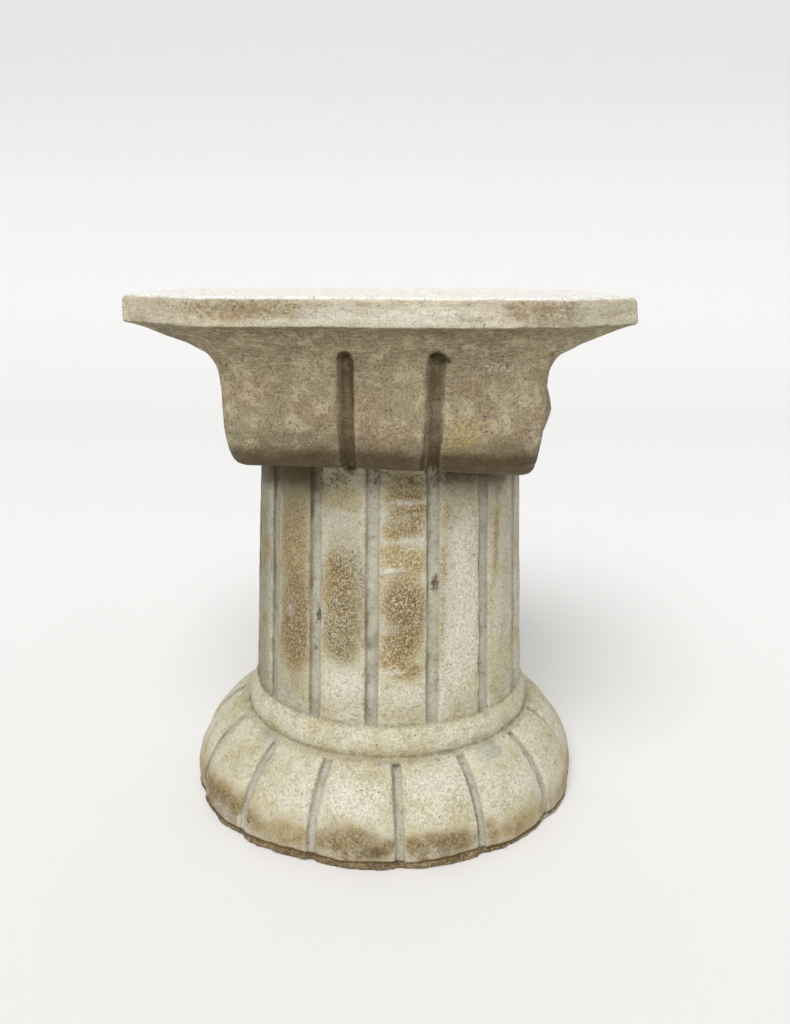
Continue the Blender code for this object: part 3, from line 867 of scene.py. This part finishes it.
class Paint:
    """The nodes of the paint: its patterns, the marks on the casting, and coats laid one on another."""

    def __init__(self, tree, colours):
        self.tree = tree
        self.colours = colours
        self.place = add_node(tree, "ShaderNodeTexCoord").outputs["Object"]
        drawn = {name: self.noise(*row) for name, row in PATTERNS.items()}
        drawn["patches"] = sums(tree, "MULTIPLY_ADD", drawn["mottle"], 0.35, self.times(drawn["spots"], 0.65))
        drawn["specks"] = sums(tree, "MULTIPLY_ADD", drawn["spots"], 0.55, self.times(drawn["sand"], 0.45))
        self.drawn = drawn

    def noise(self, millimetres, layers, rough, seed, stretch):
        """A pattern about 0.5 with lumps of the given size."""
        shift = {"Vector": self.place, "Scale": stretch, "Location": (seed, seed, seed)}
        at = add_node(self.tree, "ShaderNodeMapping", shift).outputs[0]
        kind = {"Vector": at, "Scale": 1000.0 / millimetres, "Detail": layers, "Roughness": rough}
        return add_node(self.tree, "ShaderNodeTexNoise", kind).outputs["Fac"]

    def mark(self, name):
        """What mark_surface wrote under a name."""
        return add_node(self.tree, "ShaderNodeAttribute", attribute_name=name).outputs["Fac"]

    def times(self, first, second):
        """Two values multiplied."""
        return sums(self.tree, "MULTIPLY", first, second)

    def sharp(self, name, low, high):
        """A pattern brought out between two of its values."""
        return spread(self.tree, self.drawn[name], low, high)

    def covered(self, mark, pattern, soft, scale=1.0):
        """Where a wash lies: the pattern breaks its mark up, so that a mark of 0.5 covers half."""
        reach = sums(self.tree, "SUBTRACT", self.drawn[pattern], 0.72)
        reach = sums(self.tree, "MULTIPLY_ADD", self.mark(mark), 0.44 * scale, reach)
        return spread(self.tree, reach, -soft, soft)

    def coat(self, below, colour, share, strength=1.0):
        """Lays a colour over what is below."""
        return mixed(self.tree, self.times(share, strength), below, self.colour(colour))

    def colour(self, name):
        """One of the colours that are set, as shaders take it."""
        return linear(getattr(self.colours, name))


def ground_coats(paint):
    """Cream on the shaft and base, olive beige on the capital, and toned strokes on the slab's edge."""
    cream = paint.coat(paint.colour("cream"), "cream_aged", paint.sharp("clouds", 0.40, 0.62))
    cream = paint.coat(cream, "cream_shade", paint.sharp("mottle", 0.50, 0.68), 0.60)

    olive = paint.coat(paint.colour("olive"), "olive_warm", paint.sharp("clouds", 0.40, 0.62))
    olive = paint.coat(olive, "olive_shade", paint.sharp("patches", 0.46, 0.60), 0.75)
    olive = paint.coat(olive, "olive_light", paint.sharp("mottle", 0.50, 0.38), 0.55)
    brushed = paint.times(paint.sharp("brush", 0.50, 0.64), paint.mark("brushed"))
    olive = paint.coat(olive, "olive_light", brushed, 0.45)
    olive = paint.coat(olive, "olive_shade", paint.sharp("specks", 0.51, 0.62), 0.60)

    edge = paint.coat(paint.colour("edge_light"), "edge_pink", paint.sharp("patches", 0.49, 0.60), 0.80)
    edge = paint.coat(edge, "edge_pink", paint.sharp("strokes", 0.52, 0.66), 0.60)
    surface = mixed(paint.tree, paint.mark("capital"), cream, olive)
    return mixed(paint.tree, paint.mark("slab"), surface, edge)


def washes(paint, surface):
    """Washes and stains, specks with light flecks between them, and hairlines at the shaft's foot."""
    surface = paint.coat(surface, "pink", paint.covered("pink", "patches", 0.20), 0.65)
    surface = paint.coat(surface, "ochre", paint.covered("ochre", "patches", 0.20), 0.55)
    surface = paint.coat(surface, "ochre", paint.covered("ochre", "specks", 0.07), 0.62)
    surface = paint.coat(surface, "chalk_and_highlight", paint.covered("pale", "patches", 0.20), 0.75)
    surface = paint.coat(surface, "brown", paint.covered("specks", "specks", 0.06), 0.58)
    surface = paint.coat(surface, "dirt_and_shade", paint.covered("specks", "grit", 0.045, 0.55), 0.55)
    dappled = paint.mark("dappled")
    light = paint.times(paint.sharp("flecks", 0.51, 0.60), dappled)
    dark = paint.times(paint.sharp("flecks", 0.48, 0.40), dappled)
    surface = paint.coat(surface, "cream", light, 0.72)
    surface = paint.coat(surface, "brown", dark, 0.55)
    surface = paint.coat(surface, "cool_grey", paint.covered("cool", "patches", 0.10), 0.75)
    hairlines = paint.times(paint.sharp("brush", 0.55, 0.62), paint.mark("foot"))
    return paint.coat(surface, "brown", hairlines, 0.45)


def cuts_shade_and_grime(paint, surface):
    """Grey floors of the cuts, painted shade and grime under the capital, darkening in hollows and creases,
    painted highlights on rubbed edges and the slab's top, and the bare lip.
    """
    channel = paint.coat(paint.colour("channel"), "channel_shade", paint.sharp("patches", 0.47, 0.62))
    channel = paint.coat(channel, "dirt_and_shade", paint.sharp("specks", 0.53, 0.60), 0.40)
    surface = mixed(paint.tree, paint.times(paint.mark("channel"), 0.85), surface, channel)
    strap = paint.coat(paint.colour("strap"), "strap_shade", paint.sharp("patches", 0.45, 0.60))
    surface = mixed(paint.tree, paint.times(paint.mark("strap"), 0.85), surface, strap)
    # Painted shade with some grime under the capital and on the shaft's neck, and darker towards the shaft's
    # left side.
    surface = paint.coat(surface, "under", paint.mark("under"), 0.85)
    # Soot stains, and painted shadow with some dirt on the shaft's neck.
    surface = paint.coat(surface, "dirt_and_shade", paint.covered("soot_and_shade", "patches", 0.12), 0.85)

    # Darker in broad hollows, and the painted shadow under the ring.
    surface = paint.coat(surface, "hollow", paint.mark("hollow"), 0.35)
    # Darker in fine creases, and dark lines of dirt and painted shadow along the channels.
    surface = paint.coat(surface, "dirt_and_shade", paint.mark("crease"), 0.75)
    surface = paint.coat(surface, "dirt_and_shade", paint.mark("seam_dirt_and_shade"), 0.85)
    # Worn edges and the channels' right arrises, lightened as painted highlights.
    rubbed = sums(paint.tree, "MAXIMUM", paint.mark("rubbed"), paint.mark("ridge_highlight"))
    surface = paint.coat(surface, "chalk_and_highlight", rubbed, 0.50)
    # The slab's top painted near white, as a painted highlight of the light from above.
    surface = paint.coat(surface, "top", paint.mark("top"))
    raw = paint.coat(paint.colour("raw"), "raw_shade", paint.sharp("patches", 0.45, 0.60))
    return mixed(paint.tree, paint.times(paint.covered("rim", "patches", 0.08), 0.92), surface, raw)


def fine_tone(paint):
    """Light and dark grain, stronger on the capital, with brush lines where the paint was brushed level."""
    grain = sums(paint.tree, "SUBTRACT", paint.drawn["specks"], 0.5)
    grain = paint.times(grain, sums(paint.tree, "ADD", paint.mark("capital"), 1.0))
    lines = paint.times(sums(paint.tree, "SUBTRACT", paint.drawn["brush"], 0.5), paint.mark("brushed"))
    tone = sums(paint.tree, "MULTIPLY_ADD", lines, 0.35, grain)
    span = {"Value": tone, "From Min": -0.2, "From Max": 0.2, "To Min": 0.5, "To Max": 1.5}
    return add_node(paint.tree, "ShaderNodeMapRange", span).outputs[0]


def painted_plaster(colours):
    """Gypsum plaster, cast and painted in thin cream coats, then toned with brown and ochre washes.

    The dried paint is matt and chalky. Brush lines run level on the turned and planed members.
    """
    material = bpy.data.materials.new("painted_gypsum_plaster")
    material.use_nodes = True
    tree = material.node_tree
    shader = tree.nodes["Principled BSDF"]
    paint = Paint(tree, colours)
    surface = cuts_shade_and_grime(paint, washes(paint, ground_coats(paint)))

    holes = {"Vector": paint.place, "Scale": 1000.0 / AIR_HOLE_SPACING}
    off_hole = spread(tree, add_node(tree, "ShaderNodeTexVoronoi", holes).outputs["Distance"], 0.05, 0.10)
    hole = sums(tree, "SUBTRACT", 1.0, off_hole)
    surface = paint.coat(surface, "dirt_and_shade", hole, 0.60)
    surface = mixed(tree, 1.0, surface, fine_tone(paint), "MULTIPLY")
    tree.links.new(surface, shader.inputs["Base Color"])

    height = paint.times(paint.times(paint.drawn["brush"], paint.mark("brushed")), 0.7)
    height = sums(tree, "MULTIPLY_ADD", paint.drawn["spots"], 0.5, height)
    height = sums(tree, "MULTIPLY_ADD", paint.drawn["sand"], 0.4, height)
    height = sums(tree, "MULTIPLY_ADD", hole, -1.2, height)
    bump = add_node(tree, "ShaderNodeBump", {"Height": height, "Strength": 0.6, "Distance": 1.1 * MM})
    tree.links.new(bump.outputs["Normal"], shader.inputs["Normal"])
    shader.inputs["Roughness"].default_value = 0.75
    shader.inputs["IOR"].default_value = 1.52
    shader.inputs["Specular IOR Level"].default_value = 0.3
    return material


def board_material(colour):
    """Matt painted board, a little greyer at the back, so that floor and backdrop look alike."""
    material = bpy.data.materials.new("matt_white_board")
    material.use_nodes = True
    tree = material.node_tree
    shader = tree.nodes["Principled BSDF"]
    place = add_node(tree, "ShaderNodeTexCoord").outputs["Object"]
    back = add_node(tree, "ShaderNodeSeparateXYZ", {0: place}).outputs["Y"]
    grey = [BACKDROP_SHARE * part for part in colour]
    tone = mixed(tree, spread(tree, back, 0.2, 3.4), (*colour, 1.0), (*grey, 1.0))
    tree.links.new(tone, shader.inputs["Base Color"])
    shader.inputs["Roughness"].default_value = 0.9
    return material


def hex_colour(name, description, default):
    """A setting that holds one colour."""
    return StringProperty(name=name, description=description, default=default)


def angle(name, description, degrees):
    """A setting that holds an angle."""
    return FloatProperty(
        name=name, description=description, default=math.radians(degrees), subtype="ANGLE",
    )


class CastingSettings(bpy.types.PropertyGroup):
    """How finely the casting is made."""

    voxel: FloatProperty(
        name="Voxel", description="Size of the cells that the casting is made of",
        default=1.4 * MM, min=0.8 * MM, unit="LENGTH",
    )
    triangles: IntProperty(
        name="Triangles", description="How many triangles the finished casting has at most",
        default=188000, min=20000,
    )


class PaintSettings(bpy.types.PropertyGroup):
    """The colours of the paint, as sRGB hex codes."""

    cream: hex_colour("Cream", "Light cream of the shaft and base", "#CAC5AE")
    cream_aged: hex_colour("Aged cream", "Yellowed cream in broad clouds", "#BDB491")
    cream_shade: hex_colour("Shaded cream", "Mottling in the cream", "#A39874")
    olive: hex_colour("Olive", "Olive beige of the capital", "#A29778")
    olive_warm: hex_colour("Warm olive", "Pinkish brown clouds on the capital", "#99876F")
    olive_shade: hex_colour("Shaded olive", "Dark mottling on the capital", "#726749")
    olive_light: hex_colour("Light olive", "Brush lines on the capital", "#BDB293")
    edge_light: hex_colour("Light edge", "Bare cream of the slab's edge", "#CFC7AF")
    edge_pink: hex_colour("Toned edge", "Brown strokes on the slab's edge", "#A6977A")
    pink: hex_colour("Pinkish brown", "Pinkish brown wash", "#9C8068")
    ochre: hex_colour("Ochre", "Sandy ochre stain", "#A8905A")
    brown: hex_colour("Brown", "Brown specks", "#6D562B")
    # Also the colour of the painted highlights on worn edges and on the channels' right arrises.
    chalk_and_highlight: hex_colour("Chalk", "White paint where it is rubbed or thick", "#D6D2C3")
    cool_grey: hex_colour("Cool grey", "Thin grey wash", "#A6A79B")
    channel: hex_colour("Channel", "Grey floors of the flutes and grooves", "#BCB9A9")
    channel_shade: hex_colour("Shaded channel", "Mottling of those floors", "#979482")
    strap: hex_colour("Strap", "Brownish grey floors of the straps", "#6C5F48")
    strap_shade: hex_colour("Shaded strap", "Mottling of those floors", "#4C4130")
    # Colour of the darkening in broad hollows and of the painted shadow under the ring.
    hollow: hex_colour("Hollow", "Dirt that lies in the hollows", "#7A6C4E")
    # Colour of the painted shade, with some grime, on the capital's downward faces, on the shaft's neck and
    # towards the shaft's left side.
    under: hex_colour("Underside", "Grimy olive brown of the faces that turn down", "#42310F")
    # Colour of real specks, soot and dirt, and also of painted shade: the shadow on the neck, the dark lines
    # along the channels and the darkening in creases.
    dirt_and_shade: hex_colour("Dirt", "Dark brown dirt in cuts and creases", "#47361B")
    # Near white of the slab's top, a painted highlight of the light from above.
    top: hex_colour("Top", "Clean paint on top of the slab", "#F4F2EA")
    raw: hex_colour("Raw lip", "Bare brown casting at the foot", "#7E6848")
    raw_shade: hex_colour("Shaded lip", "Dark patches of the bare casting", "#4A3922")


class StageSettings(bpy.types.PropertyGroup):
    """The floor and the lights."""

    floor_colour: FloatVectorProperty(
        name="Floor", description="Colour of the floor",
        default=(0.90, 0.895, 0.885), size=3, subtype="COLOR",
    )
    key: FloatProperty(
        name="Key light", description="Strength of the soft light from above",
        default=2.3, min=0.0,
    )
    key_softness: angle("Softness", "Angle that the key light fills", 38)
    key_height: angle("Height", "Angle of the key light over the floor", 50)
    key_side: angle("Side", "Angle of the key light from the front towards +X", -12)
    fill: FloatProperty(
        name="Fill", description="Strength of the light from all round", default=0.40, min=0.0,
    )


class PEDESTAL_OT_casting(bpy.types.Operator):
    """Make the plaster casting from the solid and give it its relief"""

    bl_idname = "pedestal.casting"
    bl_label = "Plaster casting"

    def execute(self, context):
        settings = context.scene.pedestal_casting
        voxel = settings.voxel * 1.0
        piece = fine_casting(voxel, settings.triangles)
        mark_surface(piece.data)
        piece.data.materials.clear()
        piece.data.materials.append(painted_plaster(context.scene.pedestal_paint))
        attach(piece, "root")
        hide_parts(NODE)
        return {"FINISHED"}


def key_light(settings):
    """A broad soft light above and in front, as even as daylight from a large window."""
    light = bpy.data.lights.new("key", "SUN")
    light.energy = settings.key
    light.angle = settings.key_softness
    lamp = bpy.data.objects.new("key", light)
    level = math.cos(settings.key_height)
    across = level * math.sin(settings.key_side)
    forward = -level * math.cos(settings.key_side)
    lamp.location = Vector((across, forward, math.sin(settings.key_height))) * 3.0
    lamp.rotation_euler = (-lamp.location).to_track_quat("-Z", "Y").to_euler()
    bpy.context.scene.collection.objects.link(lamp)


def studio_floor(colour):
    """A floor that curves up behind the pedestal into a plain backdrop."""
    half, back, bend, rise = 6.0, 4.0, 1.5, 5.0
    profile = [(-6.0, 0.0), (back - bend, 0.0)]
    for step in range(1, 13):
        turn = math.pi / 2.0 * step / 12.0
        profile.append((back - bend + bend * math.sin(turn), bend * (1.0 - math.cos(turn))))
    profile.append((back, rise))
    points = [(side * half, y, z) for y, z in profile for side in (-1.0, 1.0)]
    faces = [(2 * i, 2 * i + 1, 2 * i + 3, 2 * i + 2) for i in range(len(profile) - 1)]
    mesh = bpy.data.meshes.new("studio_floor")
    mesh.from_pydata(points, [], faces)
    mesh.shade_smooth()
    mesh.materials.append(board_material(colour))
    floor = bpy.data.objects.new("studio_floor", mesh)
    bpy.context.scene.collection.objects.link(floor)
    return floor


class PEDESTAL_OT_stage(bpy.types.Operator):
    """Make the floor, the soft lights and the camera"""

    bl_idname = "pedestal.stage"
    bl_label = "Stage"

    def execute(self, context):
        scene = context.scene
        settings = scene.pedestal_stage
        studio_floor(settings.floor_colour)
        world = bpy.data.worlds.new("studio_light")
        world.use_nodes = True
        world.node_tree.nodes["Background"].inputs["Color"].default_value = (1.0, 0.995, 0.985, 1.0)
        world.node_tree.nodes["Background"].inputs["Strength"].default_value = settings.fill
        scene.world = world
        key_light(settings)
        scene.view_settings.view_transform = "Standard"

        camera = bpy.data.cameras.new("camera")
        camera.type = "PERSP"
        camera.sensor_fit = "AUTO"
        camera.sensor_width = 36.0
        camera.lens = PHOTO_FOCAL_PX / PHOTO_SIZE[1] * camera.sensor_width
        camera.shift_x = (PHOTO_SIZE[0] / 2.0 - PHOTO_AXIS_X_PX) / PHOTO_SIZE[1]
        camera.dof.use_dof = False
        holder = bpy.data.objects.new("camera", camera)
        tilt = Matrix.Rotation(math.radians(90.0 - CAMERA_DOWN_DEG), 4, "X")
        roll = Matrix.Rotation(math.radians(CAMERA_ROLL_DEG), 4, "Z")
        holder.matrix_world = Matrix.Translation(CAMERA_PLACE) @ tilt @ roll
        scene.collection.objects.link(holder)
        scene.camera = holder
        return {"FINISHED"}


class PEDESTAL_PT_panel(bpy.types.Panel):
    """Everything that makes up the pedestal"""

    bl_idname = "PEDESTAL_PT_panel"
    bl_label = "Plaster Column Pedestal"
    bl_space_type = "VIEW_3D"
    bl_region_type = "UI"
    bl_category = "Pedestal"

    def draw(self, context):
        for group in ("pedestal_casting", "pedestal_paint", "pedestal_stage"):
            box = self.layout.box()
            settings = getattr(context.scene, group)
            for name in settings.__annotations__:
                box.prop(settings, name)
        self.layout.operator(PEDESTAL_OT_casting.bl_idname)
        self.layout.operator(PEDESTAL_OT_stage.bl_idname)


CLASSES = (
    CastingSettings, PaintSettings, StageSettings, PEDESTAL_OT_casting, PEDESTAL_OT_stage, PEDESTAL_PT_panel,
)


def register():
    """Adds the settings, the two makers and the panel."""
    for item in CLASSES:
        bpy.utils.register_class(item)
    bpy.types.Scene.pedestal_casting = bpy.props.PointerProperty(type=CastingSettings)
    bpy.types.Scene.pedestal_paint = bpy.props.PointerProperty(type=PaintSettings)
    bpy.types.Scene.pedestal_stage = bpy.props.PointerProperty(type=StageSettings)


def unregister():
    """Takes them out again."""
    del bpy.types.Scene.pedestal_stage
    del bpy.types.Scene.pedestal_paint
    del bpy.types.Scene.pedestal_casting
    for item in reversed(CLASSES):
        bpy.utils.unregister_class(item)


def main():
    """Makes the casting and the stage."""
    register()
    bpy.ops.pedestal.casting()
    bpy.ops.pedestal.stage()


if __name__ == "__main__":
    main()
